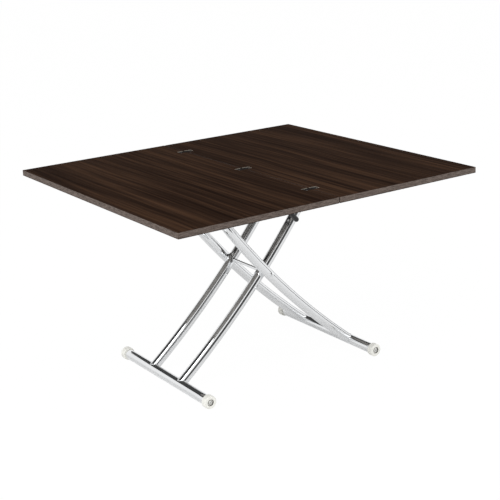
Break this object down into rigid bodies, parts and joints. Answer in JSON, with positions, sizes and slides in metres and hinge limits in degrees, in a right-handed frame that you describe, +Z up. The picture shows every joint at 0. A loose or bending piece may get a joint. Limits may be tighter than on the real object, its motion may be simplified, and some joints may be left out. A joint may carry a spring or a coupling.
{
  "type": "convertible coffee dining table",
  "caption": "Coffee table that becomes a dining table: a folding two-leaf top that swivels and opens flat on a curved chrome scissor stand with a gas-spring lift and foot rollers.",
  "frame": {"origin": "on the floor, under the middle of the open top", "axes": "+X across the seam towards the fixed leaf, +Y along the seam, +Z up"},
  "size_m": [1.2124, 1.1, 0.725],
  "materials": {
    "dark_wood": "satin dark brown laminate with straight grain along the seam",
    "edge_band": "satin grey-brown edge band",
    "chrome": "polished chrome plate",
    "hinge_metal": "dark bronzed steel",
    "frame_paint": "black powder coat",
    "nylon": "cream white nylon",
    "black_plastic": "black moulded plastic",
    "zinc": "zinc plated steel",
    "spring_paint": "black enamel"
  },
  "bodies": {
    "stand_roller": {"inner_roller_near": "nylon"},
    "inner_frame": {"inner_leg_near": "chrome", "inner_leg_far": "chrome", "inner_foot_bar": "chrome", "inner_bar_plugs": "nylon", "inner_roller_bolts": "zinc", "inner_pivot_sleeves": "chrome", "inner_top_sleeves": "chrome", "inner_top_shaft": "zinc", "inner_shaft_collars": "black_plastic", "rail_roller_clips": "zinc"},
    "outer_frame": {"outer_leg_near": "chrome", "outer_leg_far": "chrome", "outer_foot_bar": "chrome", "outer_bar_plugs": "nylon", "outer_roller_bolts": "zinc", "outer_pivot_sleeves": "chrome", "outer_top_sleeves": "chrome", "pivot_axle": "chrome", "pivot_spacers": "chrome", "pivot_axle_caps": "black_plastic"},
    "inner_far_roller": {"inner_roller_far": "nylon"},
    "outer_near_roller": {"outer_roller_near": "nylon"},
    "outer_far_roller": {"outer_roller_far": "nylon"},
    "near_rail_roller": {"rail_roller_near": "nylon"},
    "far_rail_roller": {"rail_roller_far": "nylon"},
    "sub_frame": {"rail_near": "frame_paint", "rail_far": "frame_paint", "pivot_deck": "frame_paint", "lever_deck": "frame_paint", "end_deck": "frame_paint", "swivel_deck": "frame_paint", "glide_pads": "nylon", "outer_top_shaft": "zinc", "outer_shaft_clips": "zinc", "gas_spring_cylinder": "spring_paint", "lever_hanger": "frame_paint", "spring_valve": "black_plastic"},
    "spring_rod": {"gas_spring_rod": "chrome"},
    "release_lever": {"lever_shaft": "zinc", "lever_arm": "frame_paint", "lever_finger": "zinc", "lever_grip": "black_plastic"},
    "valve_button": {"valve_button": "zinc"},
    "fixed_top": {"fixed_leaf": "dark_wood", "fixed_edge_band": "edge_band", "fixed_hinge_plates": "hinge_metal", "fixed_hinge_pins": "hinge_metal", "fixed_hinge_screws": "hinge_metal", "swivel_disc": "zinc", "swivel_bolt": "zinc", "swivel_screws": "zinc"},
    "fold_links": {"hinge_links": "hinge_metal"},
    "flap_top": {"flap_leaf": "dark_wood", "flap_edge_band": "edge_band", "flap_hinge_plates": "hinge_metal", "flap_hinge_pins": "hinge_metal", "flap_hinge_screws": "hinge_metal"}
  },
  "joints": [
    {"name": "lift", "type": "hinge", "parent": "stand_roller", "child": "inner_frame", "pos_m": [-0.3675, 0, 0.0235], "axis": [0, 1, 0], "range_deg": [0, 38]},
    {"name": "scissor", "type": "hinge", "parent": "inner_frame", "child": "outer_frame", "pos_m": [-0.0025, 0, 0.36495], "axis": [0, -1, 0], "range_deg": [0, 76]},
    {"name": "top_level", "type": "hinge", "parent": "outer_frame", "child": "sub_frame", "pos_m": [-0.2505, 0, 0.6774], "axis": [0, 1, 0], "range_deg": [0, 38]},
    {"name": "spring_level", "type": "hinge", "parent": "inner_frame", "child": "spring_rod", "pos_m": [0.2455, 0, 0.6774], "axis": [0, -1, 0], "range_deg": [0, 38]},
    {"name": "swivel", "type": "hinge", "parent": "sub_frame", "child": "fixed_top", "pos_m": [0.22049, 0.08321, 0.702], "axis": [0, 0, -1], "range_deg": [0, 90]},
    {"name": "link_fold", "type": "hinge", "parent": "fixed_top", "child": "fold_links", "pos_m": [0.0045, 0, 0.722], "axis": [0, 1, 0], "range_deg": [0, 90]},
    {"name": "flap_fold", "type": "hinge", "parent": "fold_links", "child": "flap_top", "pos_m": [-0.0045, 0, 0.722], "axis": [0, 1, 0], "range_deg": [0, 90]},
    {"name": "release", "type": "hinge", "parent": "sub_frame", "child": "release_lever", "pos_m": [-0.02, 0, 0.6774], "axis": [0, -1, 0], "range_deg": [0, 20], "stiffness_Nm_per_rad": 1.5},
    {"name": "valve_press", "type": "slide", "parent": "sub_frame", "child": "valve_button", "axis": [1, 0, 0], "range_m": [0, 0.0098]},
    {"name": "inner_far_spin", "type": "hinge", "parent": "inner_frame", "child": "inner_far_roller", "pos_m": [-0.3675, 0, 0.0235], "axis": [0, 1, 0], "continuous": true},
    {"name": "outer_near_spin", "type": "hinge", "parent": "outer_frame", "child": "outer_near_roller", "pos_m": [0.3625, 0, 0.0235], "axis": [0, 1, 0], "continuous": true},
    {"name": "outer_far_spin", "type": "hinge", "parent": "outer_frame", "child": "outer_far_roller", "pos_m": [0.3625, 0, 0.0235], "axis": [0, 1, 0], "continuous": true},
    {"name": "rail_near_spin", "type": "hinge", "parent": "inner_frame", "child": "near_rail_roller", "pos_m": [0.2455, 0, 0.6774], "axis": [0, 1, 0], "continuous": true},
    {"name": "rail_far_spin", "type": "hinge", "parent": "inner_frame", "child": "far_rail_roller", "pos_m": [0.2455, 0, 0.6774], "axis": [0, 1, 0], "continuous": true}
  ],
  "couplings": [
    {"joint": "scissor", "follows": "lift", "ratio": 2},
    {"joint": "top_level", "follows": "lift", "ratio": 1},
    {"joint": "spring_level", "follows": "lift", "ratio": 1},
    {"joint": "valve_press", "follows": "release", "m_per_rad": 0.028}
  ]
}
